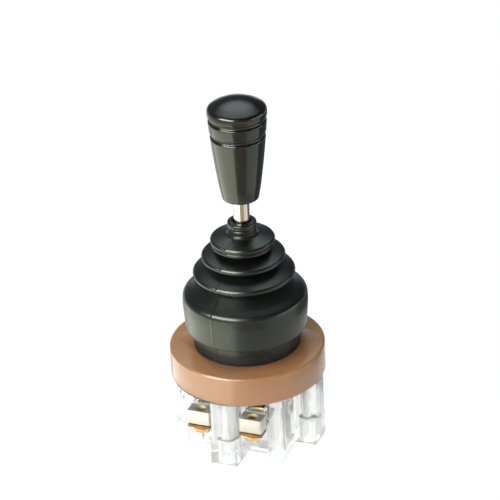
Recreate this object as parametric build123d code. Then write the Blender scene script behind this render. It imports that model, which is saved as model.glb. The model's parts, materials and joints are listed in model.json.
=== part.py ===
from build123d import *
import os
from math import atan, cos, degrees, radians, tan

# Panel-mounted two-way lever switch. A tapered knob stands on a chromed lever that leaves a
# rubber bellows boot. The boot grips the nut of a brown moulded body, whose threaded neck goes
# through a 30 mm panel hole. Under the body a clear contact base carries four screw terminals.
# The lever tilts about X on a cross pin. Its rocker pushes one of two sprung plungers down,
# and the bridge on that plunger closes a pair of fixed contacts.
# Millimetres, Z up, origin under the middle of the feet, front towards -Y.

# Clearances
RUNNING = 0.05             # radial, pieces that turn or slide
SEATED = 0.02              # radial, pieces fixed in one another
LOOSE = 0.1                # per side, screws in holes and mouldings in pockets
TRAVEL_CLEARANCE = 0.3     # left at the end of a stroke

# Lever motion
TILT = 20.0                # degrees to each side
PIVOT_RISE = 6.6           # pivot axis above the bottom of the flange
PIVOT_PIN_RADIUS = 1.6
PIVOT_PIN_SEAT = 2.0       # length of pin held in the body at each end

# Clear contact base
BASE_HEIGHT = 24.1
BASE_HALF_X = 17.1
BASE_HALF_Y = 12.8         # outer face of the front and back walls
BASE_WALL = 2.0
BASE_FLOOR = 1.7
BASE_RELIEF = 1.3          # rise of the floor above the feet
WALL_RELIEF = 0.3          # rise of the front and back walls above the feet
CORNER_WIDTH = 5.5
CORNER_REACH = 2.0         # corner blocks stand out of the front and back walls
POST_WIDTH = 9.2
POST_HOLE_RADIUS = 1.6
POST_SHORTFALL = 0.4       # foot of a post ends inside its column
POST_ROUNDING = 2.0
COUNTERBORE_RADIUS = 2.9
COUNTERBORE_TOP = 10.0
SPRING_BOSS_HEIGHT = 1.8

# Brown body
FLANGE_RADIUS = 25.5
FLANGE_HEIGHT = 10.25
FLANGE_EDGE = 0.5
BASE_GASKET = 0.3
BASE_GASKET_INSET = 0.9
SCREW_MARGIN = 5.0         # base screws inside the edge of the flange
SCREW_RADIUS = 1.5
SCREW_GRIP = 6.5           # length of screw in the body
SCREW_HEAD_RADIUS = 2.7
SCREW_HEAD_HEIGHT = 2.1
SCREW_HEAD_EDGE = 0.8
NECK_RADIUS = 15.0
NECK_LENGTH = 11.95
NECK_WALL = 3.0
PANEL_GASKET = 1.0
PANEL_GASKET_PROUD = 0.2
NUT_WALL = 2.3
NUT_HEIGHT = 3.45
SPIGOT_WALL = 0.9
SPIGOT_HEIGHT = 2.7
SPIGOT_BEAD = 0.45
SPIGOT_BEAD_RISE = 1.6     # middle of the bead above the nut

# Gate and guide plates
GATE_THICKNESS = 1.6
GATE_LEDGE = 1.5           # gate seat wider than the bore
GUIDE_LEDGE = 2.5          # guide plate pocket wider than the bore
GUIDE_POCKET = 1.6

# Lever
SHAFT_RADIUS = 2.65
SHAFT_TAIL = 3.6           # bottom of the shaft above the pivot
THREAD_RADIUS = 2.4
HUB_RADIUS = 5.0
HUB_RISE = 10.0
BARREL_RADIUS = 3.2
BARREL_END_GAP = 0.8
ARM_LENGTH = 10.2
ARM_WIDTH = 7.0
ARM_THICKNESS = 3.0
CROSS_PIN_RADIUS = 0.9
CROSS_PIN_RISE = 7.0
COLLAR_RADIUS = 5.2
COLLAR_THICKNESS = 1.5
SPRING_LENGTH = 13.4       # centring spring, gate to collar
SPRING_FOOT_RADIUS = 10.0
SPRING_HEAD_RADIUS = 4.2
SPRING_WIRE = 0.55         # radius
SPRING_TURNS = 4.0
WIRE_SIDES = 6             # flats that stand for the round of a spring wire

# Bellows boot
BOOT_WALL = 1.3
LIP_HEIGHT = 3.3
LIP_WALL = 1.8
DRUM_OVERHANG = 2.1        # drum edge beyond the lip
DRUM_SWELL = 0.6
DRUM_HEIGHT = 11.9
DRUM_SHOULDER = 13.7       # drum bottom to the foot of the bellows slope
SHOULDER_INSET = 3.0
RIM_RADIUS = 16.7
RIM_STEP = 3.06            # radius lost from rim to rim
RIM_COUNT = 3
RIM_PITCH = 5.83
RIM_THICKNESS = 1.3
FIRST_RIM_RISE = 19.55     # drum bottom to the middle of the lowest rim
FOLD_DEPTH = 3.2
FOLD_DROP = 2.0            # fold below the rim above it
BOOT_COLLAR_RADIUS = 4.8
BOOT_COLLAR_HEIGHT = 4.3
BOOT_COLLAR_RISE = 2.4     # top rim to the foot of the collar

# Knob
KNOB_GAP = 8.2             # bare shaft between boot and knob
KNOB_LENGTH = 34.9
KNOB_FOOT_RADIUS = 6.0
KNOB_CROWN_RADIUS = 9.7
KNOB_BULGE = 0.43
KNOB_DOME = 3.2
KNOB_EDGE = 1.3
GROOVE_DROPS = (6.3, 11.9)  # grooves below the top of the knob
GROOVE_RADIUS = 0.65
INSERT_RADIUS = 4.2
INSERT_LENGTH = 19.0
INSERT_END = 1.5

# Plungers and contacts
PLUNGER_OFFSET = 7.5
PLUNGER_RADIUS = 2.4
PLUNGER_GAP = 0.2
CARRIER_HALF_X = 4.0
CARRIER_HALF_Y = 2.3
CARRIER_HEIGHT = 2.6
STUD_RADIUS = 1.4
STUD_TAIL = 0.6
BRIDGE_HALF_LENGTH = 11.3
BRIDGE_WIDTH = 3.0
BRIDGE_THICKNESS = 0.8
TIP_RADIUS = 1.3
TIP_HEIGHT = 0.6
CLIP_RADIUS = 2.7
CLIP_THICKNESS = 0.6
CONTACT_GAP = 0.2          # left between the tips at full tilt
RETURN_SPRING_RADIUS = 2.2
RETURN_SPRING_WIRE = 0.25
RETURN_SPRING_TURNS = 4.0

# Terminals
TERMINAL_X = 9.0
TERMINAL_BEYOND_SCREWS = 0.4  # terminal screw axis outside the circle of base screws
STRIP_WIDTH = 5.0
STRIP_THICKNESS = 0.8
STRIP_HEIGHT = 19.6        # underside of the strip where it crosses the wall
STRIP_BEND = 0.45
SHELF_WIDTH = 7.0
SHELF_HEIGHT = 5.4
GUARD = 1.6                # plastic between a strip and its terminal block
BLOCK_WIDTH = 7.8
BLOCK_DEPTH = 4.9
BLOCK_HEIGHT = 4.9
BLOCK_DROP = 0.5           # top of the block below the strip
BLOCK_EDGE = 0.35
RIVET_RADIUS = 1.0
CLAMP_RADIUS = 1.75        # terminal screw
CLAMP_RECESS = 0.45        # screw tip below the top of the block
CLAMP_HEAD_RADIUS = 3.1
CLAMP_HEAD_HEIGHT = 2.3
CLAMP_HEAD_EDGE = 1.3
WIRE_GAP = 0.5
WASHER_HEIGHT = 0.9
WASHER_INSET = 0.1

# Levels and radii that follow from the sizes above
flange_bottom = BASE_HEIGHT + BASE_GASKET
flange_top = flange_bottom + FLANGE_HEIGHT
pivot_z = flange_bottom + PIVOT_RISE
bore_radius = NECK_RADIUS - NECK_WALL
neck_top = flange_top + NECK_LENGTH
gate_low = neck_top - GATE_THICKNESS
guide_top = flange_bottom + GUIDE_POCKET
screw_circle = FLANGE_RADIUS - SCREW_MARGIN
nut_radius = NECK_RADIUS + NUT_WALL
nut_bottom = flange_top + PANEL_GASKET_PROUD
nut_top = nut_bottom + NUT_HEIGHT
spigot_radius = NECK_RADIUS + LOOSE + SPIGOT_WALL
spigot_bead_z = nut_top + SPIGOT_BEAD_RISE
panel_gasket_radius = nut_radius
pin_half_length = bore_radius + PIVOT_PIN_SEAT

drum_low = nut_top + LIP_HEIGHT
lip_radius = spigot_radius + LIP_WALL
drum_radius = lip_radius + DRUM_OVERHANG
rim_heights = [drum_low + FIRST_RIM_RISE + RIM_PITCH * i for i in range(RIM_COUNT)]
rim_radii = [RIM_RADIUS - RIM_STEP * i for i in range(RIM_COUNT)]
boot_collar_low = rim_heights[-1] + BOOT_COLLAR_RISE
boot_top = boot_collar_low + BOOT_COLLAR_HEIGHT
spring_top = neck_top + SPRING_LENGTH
knob_low = boot_top + KNOB_GAP
knob_top = knob_low + KNOB_LENGTH
insert_low = knob_low + SEATED
insert_top = insert_low + INSERT_LENGTH

travel = PLUNGER_OFFSET * tan(radians(TILT))
floor_top = BASE_RELIEF + BASE_FLOOR
chamber_x = BASE_HALF_X - BASE_WALL
chamber_y = BASE_HALF_Y - BASE_WALL
carrier_top = BASE_HEIGHT - travel - TRAVEL_CLEARANCE
bridge_top = carrier_top - CARRIER_HEIGHT
bridge_low = bridge_top - BRIDGE_THICKNESS
bridge_tip_low = bridge_low - TIP_HEIGHT
fixed_tip_top = bridge_tip_low - travel - CONTACT_GAP
strip_inner_top = fixed_tip_top - TIP_HEIGHT
strip_inner_low = strip_inner_top - STRIP_THICKNESS
clip_low = bridge_low - CLIP_THICKNESS
terminal_y = screw_circle + TERMINAL_BEYOND_SCREWS
block_back = terminal_y - BLOCK_DEPTH / 2
block_top = STRIP_HEIGHT - BLOCK_DROP
block_low = block_top - BLOCK_HEIGHT
rivet_z = (block_top + block_low) / 2
washer_top = block_low - WIRE_GAP
washer_low = washer_top - WASHER_HEIGHT
strip_leg_front = block_back - GUARD
strip_leg_back = strip_leg_front - STRIP_THICKNESS
shelf_low = STRIP_HEIGHT - SHELF_HEIGHT

SIDES = {"front": -1, "back": 1}
HANDS = {"left": -1, "right": 1}
QUARTERS = (0, 90, 180, 270)
UPRIGHT = (Align.CENTER, Align.CENTER, Align.MIN)


def rod(radius, low, high, x=0.0, y=0.0):
    """Upright cylinder between two heights."""
    return Pos(x, y, low) * Cylinder(radius, high - low, align=UPRIGHT)


def cross_rod(radius, half_length, z):
    """Cylinder along X through the lever's axis."""
    return Pos(0, 0, z) * Rot(0, 90, 0) * Cylinder(radius, 2 * half_length)


def block(x, y, z):
    """Box between three pairs of limits, each pair in any order."""
    middle = Pos(sum(x) / 2, sum(y) / 2, sum(z) / 2)
    return middle * Box(abs(x[1] - x[0]), abs(y[1] - y[0]), abs(z[1] - z[0]))


def turned(outline):
    """Solid of revolution about Z of a closed outline of (radius, height) points."""
    return revolve(Plane.XZ * make_face(outline), Axis.Z)


def ring(outer, inner, low, high):
    """Plain ring about Z."""
    return rod(outer, low, high) - rod(inner, low, high)


def coil(foot_radius, head_radius, low, high, wire, turns):
    """Compression spring between two seats, conical if its radii differ."""
    start = low + wire + RUNNING
    height = high - wire - RUNNING - start
    cone = degrees(atan((head_radius - foot_radius) / height))
    path = Helix(height / turns, height, foot_radius, center=(0, 0, start), cone_angle=cone)
    section = Plane(origin=path @ 0, z_dir=path % 0) * RegularPolygon(wire, WIRE_SIDES)
    return sweep(section, path=path, is_frenet=True)


def edges_at(part, height):
    """Edges that lie wholly at one height."""
    return part.edges().filter_by_position(Axis.Z, height, height)


def make_post():
    """Screw post on the front face: a rounded column over a square foot, counterbored from below."""
    half = POST_WIDTH / 2
    inner = -(BASE_HALF_Y - BASE_WALL / 2)
    outer = -(screw_circle + half)
    column = block((-half, half), (outer, inner), (COUNTERBORE_TOP, BASE_HEIGHT))
    corners = column.edges().filter_by(Axis.Z).filter_by_position(Axis.Y, outer, outer)
    column = fillet(corners, POST_ROUNDING)
    post = column + block((-half, half), (outer + POST_SHORTFALL, inner), (BASE_RELIEF, COUNTERBORE_TOP))
    post -= rod(COUNTERBORE_RADIUS, BASE_RELIEF, COUNTERBORE_TOP, y=-screw_circle)
    return post - rod(POST_HOLE_RADIUS, BASE_RELIEF, BASE_HEIGHT, y=-screw_circle)


def make_contact_base():
    """Clear moulding with a chamber, four posts, corner feet and terminal shelves."""
    inner_x = BASE_HALF_X - CORNER_WIDTH
    outer_y = BASE_HALF_Y + CORNER_REACH
    base = block((-BASE_HALF_X, BASE_HALF_X), (-BASE_HALF_Y, BASE_HALF_Y), (0, BASE_HEIGHT))
    for hand in HANDS.values():
        corner_x = (hand * inner_x, hand * BASE_HALF_X)
        base += block(corner_x, (-outer_y, outer_y), (0, BASE_HEIGHT))
    base -= block((-inner_x, inner_x), (-outer_y, outer_y), (0, WALL_RELIEF))
    base -= block((-inner_x, inner_x), (-chamber_y, chamber_y), (0, BASE_RELIEF))
    for side in SIDES.values():
        base -= block((-inner_x, inner_x), (side * BASE_HALF_Y, side * outer_y), (0, BASE_HEIGHT))
    post = make_post()
    for angle in QUARTERS:
        base += Rot(0, 0, angle) * post
    base -= block((-chamber_x, chamber_x), (-chamber_y, chamber_y), (floor_top, BASE_HEIGHT))
    slot_half = STRIP_WIDTH / 2 + LOOSE
    ledge_y = PLUNGER_OFFSET - TIP_RADIUS
    for side in SIDES.values():
        boss_top = floor_top + SPRING_BOSS_HEIGHT
        base += rod(STUD_RADIUS, floor_top, boss_top, y=side * PLUNGER_OFFSET)
        for hand in HANDS.values():
            x = hand * TERMINAL_X
            shelf_x = (x - SHELF_WIDTH / 2, x + SHELF_WIDTH / 2)
            strip_x = (x - STRIP_WIDTH / 2, x + STRIP_WIDTH / 2)
            slot_x = (x - slot_half, x + slot_half)
            shelf_y = (side * BASE_HALF_Y, side * block_back)
            leg_y = (side * (strip_leg_back - SEATED), side * (strip_leg_front + SEATED))
            base += block(shelf_x, shelf_y, (shelf_low, STRIP_HEIGHT))
            base -= block(slot_x, leg_y, (shelf_low, STRIP_HEIGHT))
            base -= make_rivet(side, hand, RIVET_RADIUS + SEATED)
            base += block(strip_x, (side * ledge_y, side * chamber_y), (floor_top, strip_inner_low))
            slot_y = (side * chamber_y, side * outer_y)
            base -= block(slot_x, slot_y, (STRIP_HEIGHT, BASE_HEIGHT))
    return base


def make_base_screws():
    """Four pan-head screws that hold the base to the body, heads in the counterbores of the posts."""
    head_low = COUNTERBORE_TOP - SCREW_HEAD_HEIGHT
    head = rod(SCREW_HEAD_RADIUS, head_low, COUNTERBORE_TOP, y=-screw_circle)
    head = chamfer(edges_at(head, head_low), SCREW_HEAD_EDGE)
    screw = head + rod(SCREW_RADIUS, COUNTERBORE_TOP, flange_bottom + SCREW_GRIP, y=-screw_circle)
    return Compound(children=[Rot(0, 0, angle) * screw for angle in QUARTERS])


def make_base_gasket():
    """Thin seal between the base and the body."""
    radius = FLANGE_RADIUS - BASE_GASKET_INSET
    hole = bore_radius + GUIDE_LEDGE + LOOSE
    gasket = ring(radius, hole, BASE_HEIGHT, flange_bottom)
    for angle in QUARTERS:
        gasket -= Rot(0, 0, angle) * rod(POST_HOLE_RADIUS, BASE_HEIGHT, flange_bottom, y=-screw_circle)
    return gasket


def make_mounting_body():
    """Brown moulding: flange, threaded neck, pin slots and pockets for plates and gasket."""
    flange = rod(FLANGE_RADIUS, flange_bottom, flange_top)
    flange = chamfer(edges_at(flange, flange_bottom) + edges_at(flange, flange_top), FLANGE_EDGE)
    neck = rod(NECK_RADIUS, flange_bottom, neck_top)
    neck = chamfer(edges_at(neck, neck_top), FLANGE_EDGE)
    body = flange + neck
    gasket_seat = flange_top + PANEL_GASKET_PROUD - PANEL_GASKET
    body -= ring(panel_gasket_radius + LOOSE, NECK_RADIUS, gasket_seat, flange_top)
    body -= rod(bore_radius, flange_bottom, neck_top)
    body -= rod(bore_radius + GATE_LEDGE, gate_low, neck_top)
    body -= rod(bore_radius + GUIDE_LEDGE, flange_bottom, guide_top)
    slot_half = PIVOT_PIN_RADIUS + SEATED
    slot_end = pin_half_length + LOOSE
    body -= block((-slot_end, slot_end), (-slot_half, slot_half), (flange_bottom, pivot_z))
    body -= cross_rod(slot_half, slot_end, pivot_z)
    hole_top = flange_bottom + SCREW_GRIP + TRAVEL_CLEARANCE
    for angle in QUARTERS:
        hole = rod(SCREW_RADIUS + SEATED, flange_bottom, hole_top, y=-screw_circle)
        body -= Rot(0, 0, angle) * hole
    return body


def make_guide_plate():
    """Plate clamped under the body: guides the plungers and holds the pivot pin up."""
    plate = rod(bore_radius + GUIDE_LEDGE - LOOSE, BASE_HEIGHT, guide_top)
    saddle_half = PIVOT_PIN_RADIUS - LOOSE
    for hand in HANDS.values():
        saddle_x = (hand * (bore_radius + LOOSE), hand * pin_half_length)
        plate += block(saddle_x, (-saddle_half, saddle_half), (guide_top, pivot_z))
    plate -= cross_rod(PIVOT_PIN_RADIUS + SEATED, pin_half_length + LOOSE, pivot_z)
    for side in SIDES.values():
        hole = PLUNGER_RADIUS + RUNNING
        plate -= rod(hole, BASE_HEIGHT, guide_top, y=side * PLUNGER_OFFSET)
    return plate


def make_gate_plate():
    """Disc in the mouth of the neck whose slot lets the lever tilt in one plane."""
    plate = rod(bore_radius + GATE_LEDGE - LOOSE, gate_low, neck_top)
    reach = (neck_top - pivot_z) * tan(radians(TILT)) + SHAFT_RADIUS / cos(radians(TILT))
    slot = SlotOverall(2 * (reach + TRAVEL_CLEARANCE), 2 * (SHAFT_RADIUS + TRAVEL_CLEARANCE), rotation=90)
    return plate - Pos(0, 0, gate_low) * extrude(slot, GATE_THICKNESS)


def make_mounting_nut():
    """Round nut on the neck, with a beaded spigot for the boot."""
    spigot_top = nut_top + SPIGOT_HEIGHT
    bead_radius = spigot_radius + SPIGOT_BEAD
    nut = rod(nut_radius, nut_bottom, nut_top)
    nut = chamfer(edges_at(nut, nut_bottom), BLOCK_EDGE)
    nut += rod(spigot_radius, nut_top, spigot_top)
    nut += rod(bead_radius, spigot_bead_z - SPIGOT_BEAD, spigot_bead_z + SPIGOT_BEAD)
    return nut - rod(NECK_RADIUS + LOOSE, nut_bottom, spigot_top)


def make_boot():
    """Rubber boot: lip, drum, tapering bellows and the collar that hugs the shaft."""
    lip_bore = spigot_radius + LOOSE
    shoulder = (drum_radius - SHOULDER_INSET, drum_low + DRUM_SHOULDER)
    widest = drum_radius + DRUM_SWELL
    outside = [(lip_radius, nut_top), (lip_radius, drum_low), (drum_radius, drum_low)]
    outside += [(widest, drum_low + DRUM_HEIGHT), shoulder]
    drum_inside = widest - BOOT_WALL
    drum_floor = drum_low + BOOT_WALL
    inside = [(lip_bore, nut_top), (lip_bore, drum_floor), (drum_inside, drum_floor)]
    inside += [(drum_inside, drum_low + DRUM_HEIGHT - BOOT_WALL)]
    half = RIM_THICKNESS / 2
    for radius, height in zip(rim_radii, rim_heights):
        fold = radius - FOLD_DEPTH
        fold_z = height - FOLD_DROP
        outside += [(fold, fold_z), (radius, height - half), (radius, height + half)]
        inside += [(fold - BOOT_WALL, fold_z), (radius - BOOT_WALL - RIM_THICKNESS, height)]
    shaft_hole = SHAFT_RADIUS + LOOSE
    outside += [(BOOT_COLLAR_RADIUS, boot_collar_low), (BOOT_COLLAR_RADIUS, boot_top)]
    inside += [(shaft_hole, boot_collar_low - BOOT_WALL), (shaft_hole, boot_top)]
    boot = turned(Polyline(*outside, *reversed(inside), close=True))
    groove = SPIGOT_BEAD + LOOSE
    return boot - ring(lip_bore + groove, spigot_radius, spigot_bead_z - groove, spigot_bead_z + groove)


def make_rocker():
    """Nylon rocker: a barrel on the pivot pin, two arms over the plungers and a shaft hub."""
    half = ARM_WIDTH / 2
    rocker = cross_rod(BARREL_RADIUS, bore_radius - BARREL_END_GAP, pivot_z)
    arms = block((-half, half), (-ARM_LENGTH, ARM_LENGTH), (pivot_z, pivot_z + ARM_THICKNESS))
    rocker += arms + rod(HUB_RADIUS, pivot_z, pivot_z + HUB_RISE)
    rocker -= rod(SHAFT_RADIUS + SEATED, pivot_z + SHAFT_TAIL - SEATED, pivot_z + HUB_RISE)
    rocker -= cross_rod(PIVOT_PIN_RADIUS + RUNNING, bore_radius, pivot_z)
    return rocker - cross_rod(CROSS_PIN_RADIUS + SEATED, HUB_RADIUS, pivot_z + CROSS_PIN_RISE)


def make_lever_shaft():
    """Chromed rod, drilled for its cross pin and threaded into the knob."""
    shoulder = insert_low - SEATED
    shaft = rod(SHAFT_RADIUS, pivot_z + SHAFT_TAIL, shoulder)
    shaft += rod(THREAD_RADIUS, shoulder, insert_top - INSERT_END)
    return shaft - cross_rod(CROSS_PIN_RADIUS + SEATED, SHAFT_RADIUS, pivot_z + CROSS_PIN_RISE)


def make_knob():
    """Tapered knob with a domed crown and two turned grooves."""
    crown = knob_top - KNOB_DOME
    rise = crown - knob_low
    middle = ((KNOB_FOOT_RADIUS + KNOB_CROWN_RADIUS) / 2 + KNOB_BULGE, (knob_low + crown) / 2)
    side = ThreePointArc((KNOB_FOOT_RADIUS, knob_low), middle, (KNOB_CROWN_RADIUS, crown))
    dome_radius = (KNOB_CROWN_RADIUS**2 + KNOB_DOME**2) / (2 * KNOB_DOME)
    dome = RadiusArc((KNOB_CROWN_RADIUS, crown), (0, knob_top), -dome_radius)
    axis = Polyline((0, knob_top), (0, knob_low), (KNOB_FOOT_RADIUS, knob_low))
    profile = make_face(side + dome + axis)
    corners = profile.vertices().filter_by_position(Axis.X, KNOB_FOOT_RADIUS, KNOB_CROWN_RADIUS)
    profile = fillet(corners, KNOB_EDGE)
    for drop in GROOVE_DROPS:
        share = (rise + KNOB_DOME - drop) / rise
        chord = KNOB_FOOT_RADIUS + (KNOB_CROWN_RADIUS - KNOB_FOOT_RADIUS) * share
        surface = chord + 4 * KNOB_BULGE * share * (1 - share)
        profile -= Pos(surface, knob_top - drop) * Circle(GROOVE_RADIUS)
    knob = revolve(Plane.XZ * profile, Axis.Z)
    return knob - rod(INSERT_RADIUS + SEATED, knob_low, insert_top + SEATED)


def make_knob_insert():
    """Brass bush moulded into the knob."""
    bush = rod(INSERT_RADIUS, insert_low, insert_top)
    return bush - rod(THREAD_RADIUS + SEATED, insert_low, insert_top - INSERT_END)


def make_spring_collar():
    """Seat of the centring spring, pressed on the shaft."""
    collar = ring(COLLAR_RADIUS, SHAFT_RADIUS + SEATED, spring_top, spring_top + COLLAR_THICKNESS)
    return chamfer(edges_at(collar, spring_top + COLLAR_THICKNESS), BLOCK_EDGE)


def make_plunger(side):
    """Plunger with a domed head, a carrier for the bridge and a stud below it."""
    dome_foot = pivot_z - PLUNGER_GAP - PLUNGER_RADIUS
    plunger = rod(PLUNGER_RADIUS, carrier_top, dome_foot) + Pos(0, 0, dome_foot) * Sphere(PLUNGER_RADIUS)
    carrier_x = (-CARRIER_HALF_X, CARRIER_HALF_X)
    plunger += block(carrier_x, (-CARRIER_HALF_Y, CARRIER_HALF_Y), (bridge_top, carrier_top))
    plunger += rod(STUD_RADIUS, clip_low - STUD_TAIL, bridge_top)
    return Pos(0, side * PLUNGER_OFFSET, 0) * plunger


def make_bridge(side):
    """Contact bridge across one pair of fixed contacts."""
    half = BRIDGE_WIDTH / 2
    bar = block((-BRIDGE_HALF_LENGTH, BRIDGE_HALF_LENGTH), (-half, half), (bridge_low, bridge_top))
    bar -= rod(STUD_RADIUS + SEATED, bridge_low, bridge_top)
    return Pos(0, side * PLUNGER_OFFSET, 0) * bar


def make_tips(low, sides):
    """Round silver contact tips at the ends of the bridges or on the fixed contacts."""
    places = [(hand * TERMINAL_X, side * PLUNGER_OFFSET) for side in sides for hand in HANDS.values()]
    return Compound(children=[rod(TIP_RADIUS, low, low + TIP_HEIGHT, x, y) for x, y in places])


def make_bridge_clip(side):
    """Spring clip that holds a bridge on its stud."""
    return Pos(0, side * PLUNGER_OFFSET, 0) * ring(CLIP_RADIUS, STUD_RADIUS + SEATED, clip_low, bridge_low)


def make_return_spring(side):
    """Spring that lifts a plunger against the rocker."""
    spring = coil(RETURN_SPRING_RADIUS, RETURN_SPRING_RADIUS, floor_top, clip_low,
                  RETURN_SPRING_WIRE, RETURN_SPRING_TURNS)
    return Pos(0, side * PLUNGER_OFFSET, 0) * spring


def make_fixed_contact(side, hand):
    """Bent brass strip from under the bridge, over the wall and down behind its terminal."""
    half = STRIP_THICKNESS / 2
    inner_y = chamber_y - half
    outer_y = strip_leg_front - half
    route = [(PLUNGER_OFFSET - TIP_RADIUS, strip_inner_low + half), (inner_y, strip_inner_low + half)]
    route += [(inner_y, STRIP_HEIGHT + half), (outer_y, STRIP_HEIGHT + half), (outer_y, block_low)]
    line = FilletPolyline(*[(side * y, z) for y, z in route], radius=STRIP_BEND)
    strip = extrude(Plane.YZ * trace(line, STRIP_THICKNESS), STRIP_WIDTH / 2, both=True)
    strip = Pos(hand * TERMINAL_X, 0, 0) * strip
    return strip - make_rivet(side, hand, RIVET_RADIUS + SEATED)


def make_rivet(side, hand, radius):
    """Rivet from the back of a terminal block through the guard and the strip."""
    middle = side * (strip_leg_back + block_back) / 2
    length = block_back - strip_leg_back
    return Pos(hand * TERMINAL_X, middle, rivet_z) * Rot(90, 0, 0) * Cylinder(radius, length)


def make_terminal_block(side, hand):
    """Nickel-plated block, tapped for the clamp screw and riveted to its strip."""
    x, y = hand * TERMINAL_X, side * terminal_y
    body = Pos(x, y, block_low) * Box(BLOCK_WIDTH, BLOCK_DEPTH, BLOCK_HEIGHT, align=UPRIGHT)
    body = chamfer(body.edges().filter_by(Axis.Z), BLOCK_EDGE)
    body -= rod(CLAMP_RADIUS + SEATED, block_low, block_top, x, y)
    return body + make_rivet(side, hand, RIVET_RADIUS)


def at_terminals(piece):
    """One copy of a piece at each of the four terminal screws."""
    places = [(hand * TERMINAL_X, side * terminal_y) for side in SIDES.values() for hand in HANDS.values()]
    return Compound(children=[Pos(x, y, 0) * piece for x, y in places])


def make_terminal_screw():
    """Brass clamp screw with its rounded head below."""
    head_low = washer_low - CLAMP_HEAD_HEIGHT
    head = rod(CLAMP_HEAD_RADIUS, head_low, washer_low)
    head = chamfer(edges_at(head, head_low), CLAMP_HEAD_EDGE)
    return head + rod(CLAMP_RADIUS, washer_low, block_top - CLAMP_RECESS)


def make_terminal_washer():
    """Square clamp washer under a terminal block."""
    width = BLOCK_WIDTH - 2 * WASHER_INSET
    washer = Pos(0, 0, washer_low) * Box(width, BLOCK_DEPTH, WASHER_HEIGHT, align=UPRIGHT)
    return washer - rod(CLAMP_RADIUS + LOOSE, washer_low, washer_top)


pieces = {
    "contact_base": make_contact_base(),
    "base_screws": make_base_screws(),
    "base_gasket": make_base_gasket(),
    "mounting_body": make_mounting_body(),
    "guide_plate": make_guide_plate(),
    "pivot_pin": cross_rod(PIVOT_PIN_RADIUS, pin_half_length, pivot_z),
    "gate_plate": make_gate_plate(),
    "panel_gasket": ring(panel_gasket_radius, NECK_RADIUS + LOOSE, nut_bottom - PANEL_GASKET, nut_bottom),
    "mounting_nut": make_mounting_nut(),
    "boot": make_boot(),
    "rocker": make_rocker(),
    "rocker_pin": cross_rod(CROSS_PIN_RADIUS, HUB_RADIUS - LOOSE, pivot_z + CROSS_PIN_RISE),
    "lever_shaft": make_lever_shaft(),
    "spring_collar": make_spring_collar(),
    "centring_spring": coil(SPRING_FOOT_RADIUS, SPRING_HEAD_RADIUS, neck_top, spring_top,
                            SPRING_WIRE, SPRING_TURNS),
    "knob": make_knob(),
    "knob_insert": make_knob_insert(),
    "fixed_contact_tips": make_tips(strip_inner_top, SIDES.values()),
    "terminal_screws": at_terminals(make_terminal_screw()),
    "terminal_washers": at_terminals(make_terminal_washer()),
}
for side_name, side in SIDES.items():
    pieces[f"plunger_{side_name}"] = make_plunger(side)
    pieces[f"contact_bridge_{side_name}"] = make_bridge(side)
    pieces[f"bridge_tips_{side_name}"] = make_tips(bridge_tip_low, [side])
    pieces[f"bridge_clip_{side_name}"] = make_bridge_clip(side)
    pieces[f"plunger_spring_{side_name}"] = make_return_spring(side)
    for hand_name, hand in HANDS.items():
        place = f"{side_name}_{hand_name}"
        pieces[f"fixed_contact_{place}"] = make_fixed_contact(side, hand)
        pieces[f"terminal_block_{place}"] = make_terminal_block(side, hand)

os.makedirs("parts", exist_ok=True)
for name, piece in pieces.items():
    export_step(piece, f"parts/{name}.step")
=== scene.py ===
"""Looks of a panel-mounted two-way lever switch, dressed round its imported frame."""

from __future__ import annotations

import json
import logging
import math
from dataclasses import dataclass
from enum import Enum
from functools import cached_property
from typing import Callable, Iterable, Sequence

import bmesh
import bpy
from bpy.types import Material, Node, NodeTree, Object
from mathutils import Matrix, Vector

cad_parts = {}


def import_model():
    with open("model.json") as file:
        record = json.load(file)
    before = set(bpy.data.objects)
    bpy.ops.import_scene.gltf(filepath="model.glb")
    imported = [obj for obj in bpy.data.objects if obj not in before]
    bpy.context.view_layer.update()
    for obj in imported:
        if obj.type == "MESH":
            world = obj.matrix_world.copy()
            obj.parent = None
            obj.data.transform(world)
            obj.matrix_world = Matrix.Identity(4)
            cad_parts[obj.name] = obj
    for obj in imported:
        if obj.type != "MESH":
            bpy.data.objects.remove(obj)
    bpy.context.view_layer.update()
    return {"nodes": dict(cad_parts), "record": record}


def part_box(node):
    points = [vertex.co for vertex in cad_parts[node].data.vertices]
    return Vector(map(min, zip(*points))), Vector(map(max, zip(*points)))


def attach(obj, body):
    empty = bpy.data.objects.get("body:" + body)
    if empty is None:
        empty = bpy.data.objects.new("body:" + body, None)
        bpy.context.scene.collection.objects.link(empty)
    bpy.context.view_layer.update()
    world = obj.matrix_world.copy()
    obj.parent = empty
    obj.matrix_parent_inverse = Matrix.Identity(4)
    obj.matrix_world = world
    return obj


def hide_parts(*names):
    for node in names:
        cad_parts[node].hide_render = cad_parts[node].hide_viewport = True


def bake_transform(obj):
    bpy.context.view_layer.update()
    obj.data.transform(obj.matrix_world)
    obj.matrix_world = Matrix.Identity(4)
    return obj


LOG = logging.getLogger("lever_switch")
MM = 0.001

MERGE_GAP = 1e-7        # metres; points closer than this become one
NODE_MERGE_GAP = 1e-6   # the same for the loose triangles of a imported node
FLAT_DEGREES = 2.0      # faces of a node that turn less than this are joined
BEVEL_DEGREES = 35.0    # edges of a node that turn more than this are softened
SOFT_DEGREES = 32.0     # edges that still turn more than this stay sharp

Point = tuple[float, float]
Corner = tuple[float, float, float]
Colour = tuple[float, float, float]
Socket = bpy.types.NodeSocket
Inputs = dict[str, object]
Recipe = tuple[NodeTree, Inputs, float, Inputs]


class Body(Enum):
    """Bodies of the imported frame."""

    HOUSING = "housing"
    LEVER = "lever"
    PLUNGER_FRONT = "plunger_front"
    PLUNGER_BACK = "plunger_back"


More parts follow.
